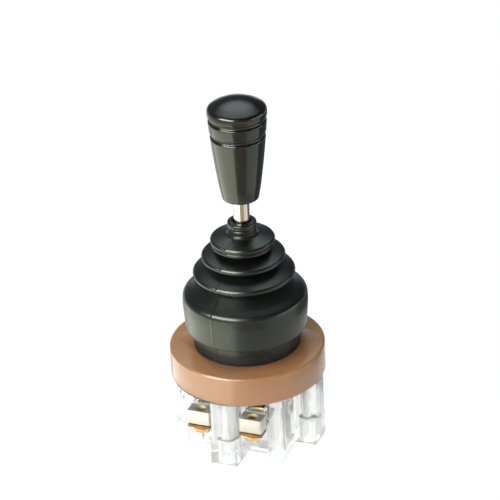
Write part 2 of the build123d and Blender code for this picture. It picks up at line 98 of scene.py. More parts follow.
class Plug(Enum):
    """Kinds of sockets of the node groups."""

    NUMBER = "NodeSocketFloat"
    COLOUR = "NodeSocketColor"
    OBJECT = "NodeSocketObject"
    SHAPE = "NodeSocketGeometry"
    FINISH = "NodeSocketMaterial"


class Ease(Enum):
    """How a level changes between two limits."""

    LINEAR = "LINEAR"
    SMOOTH = "SMOOTHSTEP"


# Outlines and meshes


def span(node: str) -> Point:
    """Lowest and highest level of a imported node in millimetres."""
    low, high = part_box(node)
    return low.z / MM, high.z / MM


def outer_radius(node: str) -> float:
    """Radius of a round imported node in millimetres."""
    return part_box(node)[1].x / MM


def rounded(corners: Sequence[Corner], steps: int = 6) -> list[Point]:
    """Round the corners of an outline.

    Args:
        corners: (radius, height, corner radius) triples in millimetres, in order.
        steps: segments in each rounded corner.

    Returns:
        Points of the outline in metres, with the first and last corner left sharp.
    """
    points: list[Point] = []
    last = len(corners) - 1
    for index, (x, z, bend) in enumerate(corners):
        here = Vector((x, z))
        if bend <= 0 or index in (0, last):
            points.append((x * MM, z * MM))
            continue
        before = Vector(corners[index - 1][:2]) - here
        after = Vector(corners[index + 1][:2]) - here
        half = before.angle(after) / 2
        reach = min(bend / math.tan(half), before.length * 0.49, after.length * 0.49)
        first = here + before.normalized() * reach
        final = here + after.normalized() * reach
        for step in range(steps + 1):
            share = step / steps
            bezier = first * (1 - share) ** 2 + here * 2 * share * (1 - share) + final * share**2
            points.append((bezier.x * MM, bezier.y * MM))
    return points


def even_angles(count: int) -> list[float]:
    """Angles of a full turn in equal steps."""
    return [2 * math.pi * index / count for index in range(count)]


def link(name: str, data: bpy.types.ID) -> Object:
    """Put a mesh, lamp or camera in the scene.

    Args:
        name: name of the new object.
        data: what the object holds.

    Returns:
        The new object, at the origin.
    """
    piece = bpy.data.objects.new(name, data)
    bpy.context.scene.collection.objects.link(piece)
    return piece


def wear(piece: Object, material: Material) -> None:
    """Give a piece one material all over."""
    piece.data.materials.clear()
    piece.data.materials.append(material)


def close_shape(shape: bmesh.types.BMesh, name: str, sharp_degrees: float) -> Object:
    """Merge, orient and shade a built shape, then put it in the scene.

    Args:
        shape: the shape, freed here.
        name: name of the new object.
        sharp_degrees: edges that turn more than this stay sharp.

    Returns:
        The new object.
    """
    bmesh.ops.remove_doubles(shape, verts=shape.verts, dist=MERGE_GAP)
    bmesh.ops.recalc_face_normals(shape, faces=shape.faces)
    limit = math.radians(sharp_degrees)
    for face in shape.faces:
        face.smooth = True
    for edge in shape.edges:
        edge.smooth = len(edge.link_faces) == 2 and edge.calc_face_angle(0.0) < limit
    mesh = bpy.data.meshes.new(name)
    shape.to_mesh(mesh)
    shape.free()
    return link(name, mesh)


def lathe(
    name: str, outline: Sequence[Point], angles: Sequence[float],
    swell: Callable[[float, float, float], float] | None = None, sharp_degrees: float = 40.0,
) -> Object:
    """Turn a closed outline about Z.

    Args:
        name: name of the new object.
        outline: (radius, height) points in metres; the last joins the first.
        angles: directions of the meridians, in order, in radians.
        swell: extra radius for a radius, height and angle.
        sharp_degrees: edges that turn more than this stay sharp.

    Returns:
        The turned solid.
    """
    shape = bmesh.new()
    rows = []
    for angle in angles:
        row = []
        for radius, height in outline:
            full = radius + (swell(radius, height, angle) if swell and radius > 0 else 0.0)
            row.append(shape.verts.new((full * math.cos(angle), full * math.sin(angle), height)))
        rows.append(row)
    count = len(outline)
    for column, row in enumerate(rows):
        beside = rows[(column + 1) % len(rows)]
        for index in range(count):
            above = (index + 1) % count
            if outline[index][0] == 0 and outline[above][0] == 0:
                continue
            shape.faces.new((row[index], beside[index], beside[above], row[above]))
    bmesh.ops.remove_doubles(shape, verts=shape.verts, dist=MERGE_GAP)
    bmesh.ops.dissolve_degenerate(shape, edges=shape.edges, dist=MERGE_GAP / 10)
    return close_shape(shape, name, sharp_degrees)


def bake_modifiers(piece: Object) -> Object:
    """Replace a piece's mesh by its evaluated one and drop its modifiers.

    Args:
        piece: the piece to settle.

    Returns:
        The same piece.
    """
    graph = bpy.context.evaluated_depsgraph_get()
    mesh = bpy.data.meshes.new_from_object(piece.evaluated_get(graph))
    piece.modifiers.clear()
    piece.data = mesh
    return piece


def refine_node(node: Object, bevel_mm: float) -> Object:
    """Copy a frame node, join its loose triangles into faces and soften its edges.

    Args:
        node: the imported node, left as it is.
        bevel_mm: width of the softened edges.

    Returns:
        A new piece with the node's shape.
    """
    name = f"{node.name}_piece"
    shape = bmesh.new()
    shape.from_mesh(node.data)
    bmesh.ops.remove_doubles(shape, verts=shape.verts, dist=NODE_MERGE_GAP)
    flat = math.radians(FLAT_DEGREES)
    bmesh.ops.dissolve_limit(shape, angle_limit=flat, verts=shape.verts, edges=shape.edges)
    mesh = bpy.data.meshes.new(f"{name}.draft")
    shape.to_mesh(mesh)
    shape.free()
    draft = link(mesh.name, mesh)
    bevel = draft.modifiers.new("soft_edges", "BEVEL")
    bevel.width = bevel_mm * MM
    bevel.segments = 2
    bevel.limit_method = "ANGLE"
    bevel.angle_limit = math.radians(BEVEL_DEGREES)
    bake_modifiers(draft)
    shape = bmesh.new()
    shape.from_mesh(draft.data)
    bpy.data.objects.remove(draft)
    return close_shape(shape, name, SOFT_DEGREES)


# Node trees


def opaque(colour: Colour) -> tuple[float, float, float, float]:
    """Colour with full alpha."""
    return (*colour, 1.0)


@dataclass
class NodeSketch:
    """Short-hand for adding and joining nodes in one tree, and in a group its inputs and results."""

    tree: NodeTree
    given: bpy.types.NodeOutputs | None = None
    result: bpy.types.NodeInputs | None = None

    @classmethod
    def of_group(cls, kind: str, name: str, inputs: dict[str, Plug], outputs: dict[str, Plug]) -> NodeSketch:
        """Start a node group with named sockets.

        Args:
            kind: type of the group's tree.
            name: name of the group.
            inputs: kinds of its inputs by name.
            outputs: kinds of its outputs by name.

        Returns:
            A sketch of the group, with its input and output nodes placed.
        """
        group = bpy.data.node_groups.new(name, kind)
        for way, plugs in (("INPUT", inputs), ("OUTPUT", outputs)):
            for label, plug in plugs.items():
                group.interface.new_socket(label, in_out=way, socket_type=plug.value)
        given, result = group.nodes.new("NodeGroupInput"), group.nodes.new("NodeGroupOutput")
        return cls(group, given.outputs, result.inputs)

    def feed(self, part: object, target: Socket) -> None:
        """Link a socket to a target, or set a plain value there.

        Args:
            part: the socket or value.
            target: the input that takes it.
        """
        if isinstance(part, Socket):
            self.tree.links.new(part, target)
        else:
            target.default_value = part

    def add(self, kind: str, **values: object) -> Node:
        """Add a node, set its properties and feed its sockets by name.

        Args:
            kind: node type name.
            values: properties, or socket names with underscores for spaces.

        Returns:
            The new node.
        """
        node = self.tree.nodes.new(kind)
        for label, value in values.items():
            if hasattr(node, label):
                setattr(node, label, value)
            else:
                self.feed(value, node.inputs[label.replace("_", " ")])
        return node

    def fill(self, node: Node, *parts: object) -> Node:
        """Feed the inputs of a node in order.

        Args:
            node: the node.
            parts: sockets or plain values.

        Returns:
            The same node.
        """
        for part, target in zip(parts, node.inputs):
            self.feed(part, target)
        return node

    def math(self, operation: str, *parts: object, clamp: bool = False) -> Socket:
        """Value of an operation on sockets or numbers."""
        node = self.add("ShaderNodeMath", operation=operation, use_clamp=clamp)
        return self.fill(node, *parts).outputs[0]

    def mix(self, share: Socket, first: Node, second: Node) -> Socket:
        """Mixture of two shaders, by the share of the second."""
        node = self.add("ShaderNodeMixShader")
        return self.fill(node, share, first.outputs[0], second.outputs[0]).outputs[0]

    def noise(self, vector: Socket, scale: object, detail: float) -> Socket:
        """Noise on a vector, as a value."""
        return self.add("ShaderNodeTexNoise", Scale=scale, Detail=detail, Vector=vector).outputs["Fac"]

    def ramp(self, value: Socket, limits: Point, levels: Point, ease: Ease = Ease.LINEAR) -> Socket:
        """Level that goes from one to another as a value goes between two limits."""
        node = self.add("ShaderNodeMapRange", interpolation_type=ease.value)
        return self.fill(node, value, *limits, *levels).outputs["Result"]


class EffectGroups:
    """Node groups that several finishes share, each built when first asked for."""

    @cached_property
    def skin(self) -> NodeTree:
        """Moulded skin: slow tone drift, fine grain and a thin film of dust.

        Returns:
            The group, with Colour, Roughness and Height outputs.
        """
        sketch, place = self.start("moulded_skin", "Dust", "Drift", "Grain Scale")
        given = sketch.given
        slow = sketch.math("SUBTRACT", sketch.noise(place, 60.0, 3.0), 0.5)
        drift = sketch.math("MULTIPLY_ADD", slow, given["Drift"], 1.0)
        tone = sketch.add("ShaderNodeVectorMath", operation="SCALE", Scale=drift)
        sketch.fill(tone, given["Colour"])
        smear = sketch.noise(place, 240.0, 6.0)
        grain = sketch.noise(place, given["Grain Scale"], 3.0)
        return self.cover(sketch, tone.outputs[0], "Dust", smear, (0.52, 0.78), grain)

    @cached_property
    def metal(self) -> NodeTree:
        """Worked metal: stains in the plating, tool marks and a change of polish.

        Returns:
            The group, with Colour, Roughness and Height outputs.
        """
        sketch, place = self.start("worked_metal", "Stain", "Mark Scale")
        drawn = sketch.add("ShaderNodeMapping", Scale=(1.0, 1.0, 9.0), Vector=place)
        marks = sketch.noise(drawn.outputs["Vector"], sketch.given["Mark Scale"], 2.0)
        blotch = sketch.noise(place, 320.0, 5.0)
        return self.cover(sketch, sketch.given["Colour"], "Stain", blotch, (0.5, 0.75), marks)

    def start(self, name: str, cover: str, *own: str) -> tuple[NodeSketch, Socket]:
        """Start an effect group.

        Args:
            name: name of the group.
            cover: name of what covers its colour.
            own: names of its other inputs.

        Returns:
            A sketch of the group and the coordinates to work on.
        """
        inputs = dict.fromkeys(("Colour", f"{cover} Colour"), Plug.COLOUR)
        inputs |= dict.fromkeys((cover, "Roughness", "Roughness Spread", *own), Plug.NUMBER)
        outputs = {"Colour": Plug.COLOUR, "Roughness": Plug.NUMBER, "Height": Plug.NUMBER}
        sketch = NodeSketch.of_group("ShaderNodeTree", name, inputs, outputs)
        return sketch, sketch.add("ShaderNodeTexCoord").outputs["Object"]

    def cover(
        self, sketch: NodeSketch, colour: Socket, cover: str, patches: Socket, limits: Point, height: Socket
    ) -> NodeTree:
        """End an effect group with patches that cover its colour and change its polish.

        Args:
            sketch: the group.
            colour: the colour under the patches.
            cover: name of the cover.
            patches: noise that places the patches.
            limits: values of that noise between which the cover grows.
            height: height of the surface.

        Returns:
            The group.
        """
        given, result = sketch.given, sketch.result
        share = sketch.math("MULTIPLY", sketch.ramp(patches, limits, (0.0, 1.0)), given[cover])
        covered = sketch.add("ShaderNodeMix", data_type="RGBA")
        for place, part in ((0, share), (6, colour), (7, given[f"{cover} Colour"])):
            sketch.feed(part, covered.inputs[place])
        polish = (patches, given["Roughness Spread"], given["Roughness"])
        sketch.feed(covered.outputs[2], result["Colour"])
        sketch.feed(sketch.math("MULTIPLY_ADD", *polish, clamp=True), result["Roughness"])
        sketch.feed(height, result["Height"])
        return sketch.tree


# Finishes


@dataclass(frozen=True)
class Finish:
    """Colour and polish that every finish has."""

    name: str
    colour: Colour
    roughness: float
    spread: float = 0.08

    def recipe(self, groups: EffectGroups) -> Recipe:
        """Effect group, its inputs beyond colour and polish, its depth, and inputs of the shader."""
        raise NotImplementedError

    def make(self, groups: EffectGroups) -> Material:
        """Make a material whose colour, polish and bump come from an effect group.

        Args:
            groups: the shared node groups.

        Returns:
            The new material.
        """
        group, extra, bump_mm, shading = self.recipe(groups)
        material = bpy.data.materials.new(self.name)
        material.use_nodes = True
        sketch = NodeSketch(material.node_tree)
        effect = sketch.add("ShaderNodeGroup", node_tree=group)
        shared = {"Colour": opaque(self.colour), "Roughness": self.roughness,
                  "Roughness Spread": self.spread}
        for label, value in (shared | extra).items():
            effect.inputs[label].default_value = value
        made = effect.outputs
        bump = sketch.add("ShaderNodeBump", Strength=0.6, Distance=bump_mm * MM, Height=made["Height"])
        linked = {"Base Color": made["Colour"], "Roughness": made["Roughness"],
                  "Normal": bump.outputs["Normal"]}
        shader = material.node_tree.nodes["Principled BSDF"]
        for label, part in (linked | shading).items():
            sketch.feed(part, shader.inputs[label])
        return material


@dataclass(frozen=True)
class MouldedFinish(Finish):
    """A plastic or rubber skin."""

    dust: float = 0.05
    dust_colour: Colour = (0.32, 0.32, 0.30)
    drift: float = 0.2
    grain_scale: float = 2500.0
    grain_mm: float = 0.01
    ior: float = 1.5
    sheen_tint: Colour = (1.0, 1.0, 1.0)

    def recipe(self, groups: EffectGroups) -> Recipe:
        """Moulded skin with dust."""
        extra = {"Dust Colour": opaque(self.dust_colour), "Dust": self.dust, "Drift": self.drift,
                 "Grain Scale": self.grain_scale}
        return groups.skin, extra, self.grain_mm, {"IOR": self.ior, "Specular Tint": opaque(self.sheen_tint)}


@dataclass(frozen=True)
class MetalFinish(Finish):
    """A plated, turned or drawn metal."""

    spread: float = 0.12
    stain: float = 0.15
    stain_colour: Colour = (0.30, 0.24, 0.18)
    mark_scale: float = 1200.0
    mark_mm: float = 0.004

    def recipe(self, groups: EffectGroups) -> Recipe:
        """Worked metal with stains."""
        extra = {"Stain Colour": opaque(self.stain_colour), "Stain": self.stain,
                 "Mark Scale": self.mark_scale}
        return groups.metal, extra, self.mark_mm, {"Metallic": 1.0}


@dataclass(frozen=True)
class ClearFinish(MouldedFinish):
    """A clear moulded plastic, slightly clouded, that lets most lamp light through."""

    dust: float = 0.3
    dust_colour: Colour = (0.96, 0.97, 0.95)
    drift: float = 0.04
    grain_scale: float = 160.0
    grain_mm: float = 0.02
    ior: float = 1.46
    transmission: float = 0.75
    shadow: float = 0.05

    def make(self, groups: EffectGroups) -> Material:
        """Build the material, whose alpha opens for shadow rays.

        Args:
            groups: the shared node groups.

        Returns:
            The new material.
        """
        material = super().make(groups)
        sketch = NodeSketch(material.node_tree)
        shadow_ray = sketch.add("ShaderNodeLightPath").outputs["Is Shadow Ray"]
        alpha = sketch.math("MULTIPLY_ADD", shadow_ray, self.shadow - 1.0, 1.0)
        inputs = material.node_tree.nodes["Principled BSDF"].inputs
        sketch.feed(self.transmission, inputs["Transmission Weight"])
        sketch.feed(alpha, inputs["Alpha"])
        return material


FINISHES = (
    MouldedFinish("knob_plastic", (0.005, 0.005, 0.004), 0.15, 0.05, 0.02, drift=0.1,
                  grain_scale=900.0, grain_mm=0.003, ior=1.55, sheen_tint=(1.0, 1.0, 0.88)),
    MouldedFinish("boot_rubber", (0.003, 0.0035, 0.003), 0.28, 0.06, 0.03, (0.08, 0.09, 0.07), 0.3,
                  grain_scale=1600.0, grain_mm=0.012, ior=1.56, sheen_tint=(0.94, 1.0, 0.88)),
    MouldedFinish("nut_plastic", (0.007, 0.009, 0.007), 0.45, 0.1, 0.04),
    MouldedFinish("black_seal", (0.02, 0.02, 0.02), 0.65, 0.1, 0.08),
    MouldedFinish("black_nylon", (0.03, 0.036, 0.03), 0.42, 0.1, 0.04),
    MouldedFinish("brown_moulding", (0.43, 0.20, 0.083), 0.21, 0.06, 0.01, (0.55, 0.40, 0.28), 0.14,
                  grain_scale=1500.0, grain_mm=0.008, ior=1.7),
    MetalFinish("chromed_shaft", (0.60, 0.58, 0.50), 0.06, 0.06, 0.12),
    MetalFinish("nickel_plate", (0.66, 0.64, 0.56), 0.5, 0.16, 0.3, (0.44, 0.43, 0.33)),
    MetalFinish("silver_tips", (0.84, 0.83, 0.80), 0.3),
    MetalFinish("brass", (0.80, 0.62, 0.32), 0.26, 0.14, 0.3, (0.42, 0.24, 0.08)),
    MetalFinish("brass_screws", (0.81, 0.57, 0.25), 0.21, 0.14, 0.4, (0.38, 0.18, 0.06)),
    # brass darkened as painted shade, for the shadowed line between the terminal blocks and their washers;
    # its stains are real
    MetalFinish("tarnished_brass", (0.30, 0.145, 0.06), 0.45, 0.12, 0.4, (0.16, 0.07, 0.03)),
    MetalFinish("zinc_screws", (0.78, 0.79, 0.80), 0.28),
    MetalFinish("steel_pins", (0.62, 0.62, 0.63), 0.3),
    MetalFinish("spring_steel", (0.58, 0.58, 0.60), 0.32),
    ClearFinish("clear_polycarbonate", (0.975, 0.982, 0.965), 0.04),
)


# Springs and repeated pieces


class Repeaters:
    """Node trees that wind springs and set copies on points, each built when first asked for."""

    @cached_property
    def spring(self) -> NodeTree:
        """Round wire swept along a spiral that rises from zero.

        Returns:
            The tree.
        """
        sizes = ("Turns", "Foot Radius", "Head Radius", "Rise", "Wire Radius")
        sketch = self.start("wound_spring", dict.fromkeys(sizes, Plug.NUMBER))
        given = sketch.given
        path = sketch.add("GeometryNodeCurveSpiral", Resolution=36, Rotations=given["Turns"],
                          Start_Radius=given["Foot Radius"], End_Radius=given["Head Radius"],
                          Height=given["Rise"])
        wire = sketch.add("GeometryNodeCurvePrimitiveCircle", Resolution=14, Radius=given["Wire Radius"])
        sweep = sketch.add("GeometryNodeCurveToMesh", Curve=path.outputs["Curve"],
                           Profile_Curve=wire.outputs["Curve"], Fill_Caps=True)
        smooth = sketch.add("GeometryNodeSetShadeSmooth", Geometry=sweep.outputs["Mesh"])
        return self.end(sketch, smooth.outputs["Geometry"])

    @cached_property
    def copies(self) -> NodeTree:
        """One copy of a source object on each point of the carrier mesh.

        Returns:
            The tree.
        """
        sketch = self.start("copies_on_points", {"Source": Plug.OBJECT})
        source = sketch.add("GeometryNodeObjectInfo", Object=sketch.given["Source"])
        place = sketch.add("GeometryNodeInstanceOnPoints", Points=sketch.given["Geometry"],
                           Instance=source.outputs["Geometry"])
        return self.end(sketch, place.outputs["Instances"])

    def start(self, name: str, inputs: dict[str, Plug]) -> NodeSketch:
        """Sketch of a tree that takes a carrier, its own inputs and a finish, and gives a shape."""
        shape = {"Geometry": Plug.SHAPE}
        return NodeSketch.of_group("GeometryNodeTree", name, shape | inputs | {"Finish": Plug.FINISH}, shape)

    def end(self, sketch: NodeSketch, shape: Socket) -> NodeTree:
        """End a tree in real geometry that wears the given finish.

        Args:
            sketch: the tree.
            shape: what it has built.

        Returns:
            The tree.
        """
        real = sketch.add("GeometryNodeRealizeInstances", Geometry=shape)
        dressed = sketch.add("GeometryNodeSetMaterial", Geometry=real.outputs["Geometry"],
                             Material=sketch.given["Finish"])
        sketch.feed(dressed.outputs["Geometry"], sketch.result["Geometry"])
        return sketch.tree

    def run(
        self, name: str, tree: NodeTree, values: Inputs, points: Sequence[Corner] = ((0.0, 0.0, 0.0),)
    ) -> Object:
        """Run a tree on a carrier of loose points and keep the plain mesh.

        Args:
            name: name of the new piece.
            tree: the tree to run.
            values: the tree's inputs by name.
            points: places of the carrier's points in metres.

        Returns:
            The new piece, with no modifier left on it.
        """
        carrier = bpy.data.meshes.new(name)
        carrier.from_pydata(points, [], [])
        piece = link(name, carrier)
        modifier = piece.modifiers.new("repeat", "NODES")
        modifier.node_group = tree
        for item in tree.interface.items_tree:
            if item.in_out == "INPUT" and item.name in values:
                modifier[item.identifier] = values[item.name]
        return bake_modifiers(piece)


@dataclass
class Assembly:
    """What every sub-assembly works with."""

    nodes: dict[str, Object]
    finishes: dict[str, Material]
    repeaters: Repeaters

    def settle(
        self, piece: Object, node: str, slot: str, body: Body = Body.HOUSING,
        finish: str = "", bend: Sequence[Corner] = (),
    ) -> None:
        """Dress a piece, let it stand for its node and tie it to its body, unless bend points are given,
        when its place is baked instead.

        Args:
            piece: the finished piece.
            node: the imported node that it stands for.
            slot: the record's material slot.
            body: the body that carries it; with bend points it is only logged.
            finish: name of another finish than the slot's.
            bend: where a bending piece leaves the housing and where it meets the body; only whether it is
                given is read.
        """
        wear(piece, self.finishes[finish or slot])
        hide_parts(node)
        if bend:
            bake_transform(piece)
        else:
            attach(piece, body.value)
        LOG.info("%s %s %s", piece.name, "follows" if bend else "rides on", body.value)

    def soften(self, node: str, slot: str, bevel_mm: float, finish: str = "") -> None:
        """Stand a softened copy in for one node of the housing."""
        self.settle(refine_node(self.nodes[node], bevel_mm), node, slot, finish=finish)


# Sub-assemblies


@dataclass
class Lever(Assembly):
    """Knob and shaft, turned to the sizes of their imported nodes; sizes in millimetres."""

    segments: int = 160
    foot_radius: float = 6.0
    foot_rounding: float = 0.7
    side_steps: int = 5
    side_rounding: float = 2.0
    bulge: float = 0.43
    groove_drops: Point = (6.3, 11.9)
    groove_half: float = 0.95
    groove_depth: float = 0.62
    groove_clear: float = 2.0
    crown_radius: float = 9.7
    crown_rounding: float = 1.8
    crown_edge: float = 3.0
    dome: float = 3.0
    dome_steps: int = 12
    insert_radius: float = 4.22
    insert_depth: float = 19.04
    shaft_segments: int = 96
    shaft_chamfer: float = 0.4
    thread_radius: float = 2.4

    def build(self) -> None:
        """Make and dress both pieces."""
        self.build_knob()
        self.build_shaft()

    def side_radius(self, share: float) -> float:
        """Radius of the knob's side at a share of its height."""
        chord = self.foot_radius + (self.crown_radius - self.foot_radius) * share
        return chord + 4 * self.bulge * share * (1 - share)

    def build_knob(self) -> None:
        """Tapered knob with two rounded grooves and a shallow dome."""
        low, high = span("knob")
        crown = high - self.dome
        corners = [(self.insert_radius, low, 0.0), (self.foot_radius - 0.1, low, self.foot_rounding)]
        levels = sorted(high - drop for drop in self.groove_drops)
        taper = levels[0] - self.groove_clear - low
        for step in range(1, self.side_steps + 1):
            z = low + taper * step / self.side_steps
            corners.append((self.side_radius((z - low) / (crown - low)), z, self.side_rounding))
        half, deep = self.groove_half, self.groove_depth
        for z in levels:
            radius = self.side_radius((z - low) / (crown - low))
            corners += [(radius - 0.02, z - half, 0.7), (radius - deep, z - half * 0.35, 0.6)]
            corners += [(radius - deep, z + half * 0.35, 0.6), (radius + 0.1, z + half, 0.7)]
        sphere = (self.crown_radius**2 + self.dome**2) / (2 * self.dome)
        start = math.asin((self.crown_radius - self.crown_edge) / sphere)
        arc = [start * (1 - step / self.dome_steps) for step in range(self.dome_steps)]
        dome = [(sphere * math.sin(angle), high - sphere * (1 - math.cos(angle))) for angle in arc]
        corners += [(self.crown_radius, crown, self.crown_rounding), (*dome[0], 0.0)]
        outline = rounded(corners, steps=10) + [(radius * MM, z * MM) for radius, z in dome[1:]]
        bottom = (low + self.insert_depth) * MM
        outline += [(0.0, high * MM), (0.0, bottom), (self.insert_radius * MM, bottom)]
        knob = lathe("knob_turned", outline, even_angles(self.segments))
        self.settle(knob, "knob", "knob_plastic", Body.LEVER)

    def build_shaft(self) -> None:
        """Chromed rod with a chamfer at its foot and a thinner thread in the knob."""
        low, high = span("lever_shaft")
        radius, thread, cut = outer_radius("lever_shaft"), self.thread_radius, self.shaft_chamfer
        shoulder = span("knob")[0]
        sides = ((0.0, low), (radius - cut, low), (radius, low + cut), (radius, shoulder),
                 (thread, shoulder), (thread, high), (0.0, high))
        outline = [(x * MM, z * MM) for x, z in sides]
        shaft = lathe("lever_shaft_turned", outline, even_angles(self.shaft_segments))
        self.settle(shaft, "lever_shaft", "chromed_shaft", Body.LEVER)


@dataclass
class Boot(Assembly):
    """Rubber bellows boot that bends between the housing and the lever; sizes in millimetres."""

    wall: float = 1.3
    lip_bore: float = 16.1
    lip_radius: float = 17.7
    drum_rise: float = 3.3
    drum_edge: float = 19.9
    drum_radius: float = 20.5
    drum_shoulder: float = 17.6
    drum_height: float = 13.8
    rims: tuple[Point, ...] = ((16.7, 61.15), (13.7, 66.98), (10.57, 72.81))
    rim_half: float = 0.75
    fold_depth: float = 3.4
    fold_drop: float = 2.0
    top_fold_drop: float = 3.0
    bead_depth: float = 0.35
    collar_radius: float = 4.8
    collar_height: float = 4.3
    shaft_bore: float = 2.75
    bore_length: float = 5.4
    seam_angle: float = math.radians(-101.0)
    seam_height: float = 0.18
    seam_width: float = 0.32
    seam_steps: tuple[float, ...] = (-3.0, -2.0, -1.3, -0.7, 0.0, 0.7, 1.3, 2.0, 3.0)
    half_turn_steps: int = 66
    bend_start: float = 13.0
    bend_end: float = 2.0

    def outer(self, low: float, high: float) -> list[Corner]:
        """Outline of the outside, from the lip up to the mouth of the collar.

        Args:
            low: height of the lip's foot.
            high: height of the collar's mouth.

        Returns:
            Corners with their rounding.
        """
        drum, lip = low + self.drum_rise, self.lip_radius
        shoulder = drum + self.drum_height
        corners = [(lip, low, 0.0), (lip + 0.18, low + 0.12, 0.1), (lip + 0.05, drum - 0.25, 0.3)]
        corners += [(self.drum_edge, drum, 0.5), (self.drum_radius, drum + 8.4, 8.0)]
        corners += [(self.drum_radius - 0.1, shoulder - 1.8, 2.6), (self.drum_shoulder, shoulder, 3.0)]
        for radius, height in self.rims:
            top = height == self.rims[-1][1]
            fold, drop = radius - self.fold_depth, self.top_fold_drop if top else self.fold_drop
            corners += [(fold, height - drop - 0.5, 0.8), (fold + 0.15, height - drop + 0.4, 0.6)]
            if top:
                bead = radius - self.bead_depth
                corners += [(bead - 0.55, height - 2.45, 0.3), (bead, height - 2.1, 0.4)]
                corners += [(bead, height - 1.4, 0.4), (bead - 0.4, height - 1.05, 0.3)]
            corners += [(radius - 0.1, height - self.rim_half, 0.6), (radius, height + 0.1, 0.5)]
            corners += [(radius - 0.45, height + self.rim_half, 0.7)]
        neck, collar = self.collar_radius, high - self.collar_height
        corners += [(neck + 0.5, collar - 0.5, 1.0), (neck - 0.25, collar + 0.3, 0.5)]
        corners += [(neck - 0.2, collar + 1.7, 0.3), (neck - 0.45, collar + 2.05, 0.2)]
        corners += [(neck, collar + 2.4, 0.35), (neck - 0.05, high - 0.15, 1.0)]
        return corners + [(self.shaft_bore + 0.5, high, 0.4), (self.shaft_bore, high - 0.4, 0.0)]

    def inner(self, low: float, high: float) -> list[Corner]:
        """Outline of the inside, from the collar down to the lip.

        Args:
            low: height of the lip's foot.
            high: height of the collar's mouth.

        Returns:
            Corners with their rounding.
        """
        drum, wall = low + self.drum_rise, self.wall
        corners = [(self.shaft_bore, high - self.bore_length, 0.4)]
        for radius, height in reversed(self.rims):
            fold = radius - self.fold_depth - wall
            corners += [(radius - wall - 0.8, height, 0.6), (fold, height - self.fold_drop - 0.3, 0.6)]
        corners += [(self.drum_radius - wall, drum + 11.0, 2.0), (self.drum_edge - wall, drum + 1.4, 0.5)]
        return corners + [(self.lip_bore, drum + 1.2, 0.4), (self.lip_bore, low, 0.0)]

    def seam(self, radius: float, angle: float) -> float:
        """Extra radius at the mould's two parting lines, all in metres and radians."""
        away = math.atan(math.tan(angle - self.seam_angle)) * radius / (self.seam_width * MM)
        return self.seam_height * MM * math.exp(-(away**2)) if abs(away) < 3 else 0.0

    def angles(self) -> list[float]:
        """Meridians, drawn closer together across the two parting lines.

        Returns:
            Their directions in order.
        """
        close = [math.radians(step) for step in self.seam_steps]
        half, wide = self.half_turn_steps, math.pi - 2 * close[-1]
        turns = []
        for centre in (self.seam_angle, self.seam_angle + math.pi):
            turns += [centre + offset for offset in close]
            turns += [centre + close[-1] + wide * step / half for step in range(1, half)]
        return turns

    def build(self) -> None:
        """Turn the boot and bake it in place, with the span from its drum to its collar given as its bend.
        """
        low, high = span("boot")
        outline = rounded(self.outer(low, high), steps=7)
        outer_points = set(outline)

        def swell(radius: float, height: float, angle: float) -> float:
            """Seam on the outside only."""
            return self.seam(radius, angle) if (radius, height) in outer_points else 0.0

        outline += rounded(self.inner(low, high), steps=4)
        boot = lathe("boot_bellows", outline, self.angles(), swell, sharp_degrees=60.0)
        start = (0, 0, (low + self.bend_start) * MM)
        end = (0, 0, (self.rims[-1][1] + self.bend_end) * MM)
        self.settle(boot, "boot", "boot_rubber", Body.LEVER, bend=(start, end))


@dataclass
class Housing(Assembly):
    """Brown body, nut, seals and the clear base."""

    gasket_bevel: float = 0.05
    gasket_rim: float = 1.0
    gasket_shift: Point = (-0.6, -0.24)
    nut_segments: int = 144
    nut_bore: float = 15.1
    spigot_radius: float = 16.0
    spigot_height: float = 2.7
    spigot_bead: float = 0.4

    def build(self) -> None:
        """Make and dress the housing's pieces."""
        self.soften("mounting_body", "brown_moulding", 0.12)
        self.build_nut()
        self.soften("contact_base", "clear_polycarbonate", 0.28)
        self.soften("panel_gasket", "black_seal", 0.1)
        self.build_base_gasket()

    def build_base_gasket(self) -> None:
        """Seal between base and flange, laid a little off-centre so that its edge shows at the left."""
        gasket = refine_node(self.nodes["base_gasket"], self.gasket_bevel)
        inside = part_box("base_gasket")[1].x - self.gasket_rim * MM
        for vertex in gasket.data.vertices:
            if math.hypot(vertex.co.x, vertex.co.y) > inside:
                vertex.co.x += self.gasket_shift[0] * MM
                vertex.co.y += self.gasket_shift[1] * MM
        self.settle(gasket, "base_gasket", "black_seal")

    def build_nut(self) -> None:
        """Round nut with a beaded spigot inside the boot's lip."""
        low, high = span("mounting_nut")
        radius, top = outer_radius("mounting_nut"), high - self.spigot_height
        bore, spigot = self.nut_bore, self.spigot_radius
        corners = [(bore, low, 0.0), (radius - 0.3, low, 0.2), (radius, low + 0.4, 0.3)]
        corners += [(radius, top - 0.35, 0.3), (radius - 0.35, top, 0.2), (spigot, top, 0.1)]
        corners += [(spigot, high - 2.0, 0.2), (spigot + self.spigot_bead, high - 1.3, 0.3)]
        corners += [(spigot, high - 0.2, 0.2), (bore, high, 0.0)]
        nut = lathe("mounting_nut_turned", rounded(corners), even_angles(self.nut_segments))
        self.settle(nut, "mounting_nut", "nut_plastic")


